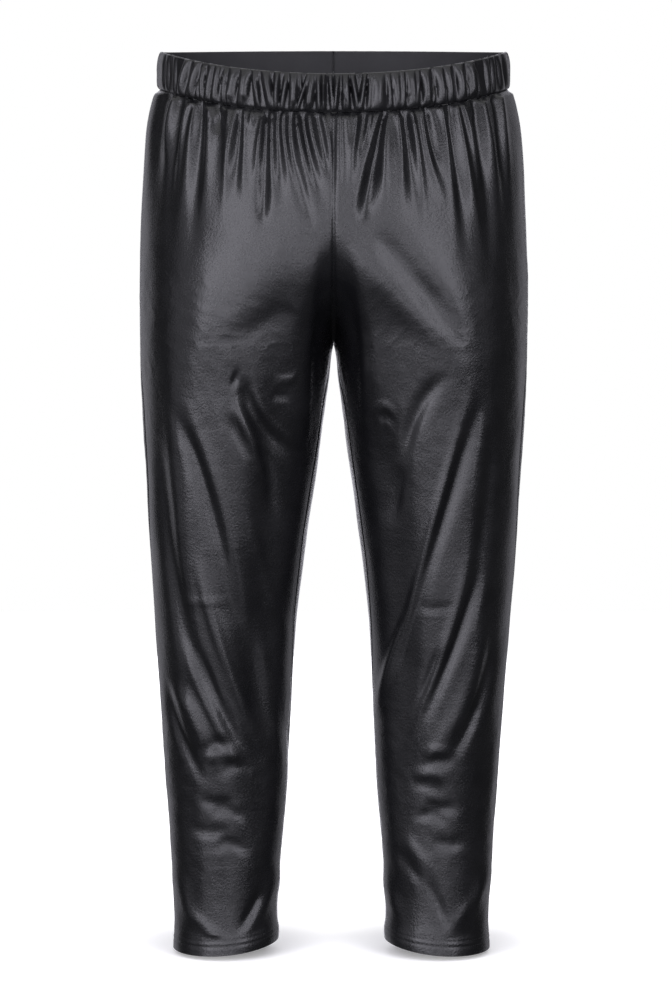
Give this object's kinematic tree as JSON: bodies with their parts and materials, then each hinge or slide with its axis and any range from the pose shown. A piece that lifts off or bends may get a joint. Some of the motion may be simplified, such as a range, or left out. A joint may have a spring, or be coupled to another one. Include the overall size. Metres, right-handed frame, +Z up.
{
  "type": "leggings",
  "caption": "Pull-on leggings in black coated stretch cloth with a gathered elastic waistband, hollow and filled out as worn.",
  "frame": {"origin": "middle of the waistband's ring, level with the middle of the band at the side seams", "axes": "+Z up the garment, -Y its front, +X to the right of a viewer in front, the wearer's left"},
  "size_m": [0.4256, 0.3127, 0.9997],
  "materials": {
    "waistband_cloth": "black coated stretch cloth, soft sheen, gathered",
    "leg_cloth": "black coated stretch cloth, soft sheen, fine grain"
  },
  "bodies": {
    "root": {"waistband": "waistband_cloth", "front_left": "leg_cloth", "front_right": "leg_cloth", "back_left": "leg_cloth", "back_right": "leg_cloth"}
  },
  "joints": []
}
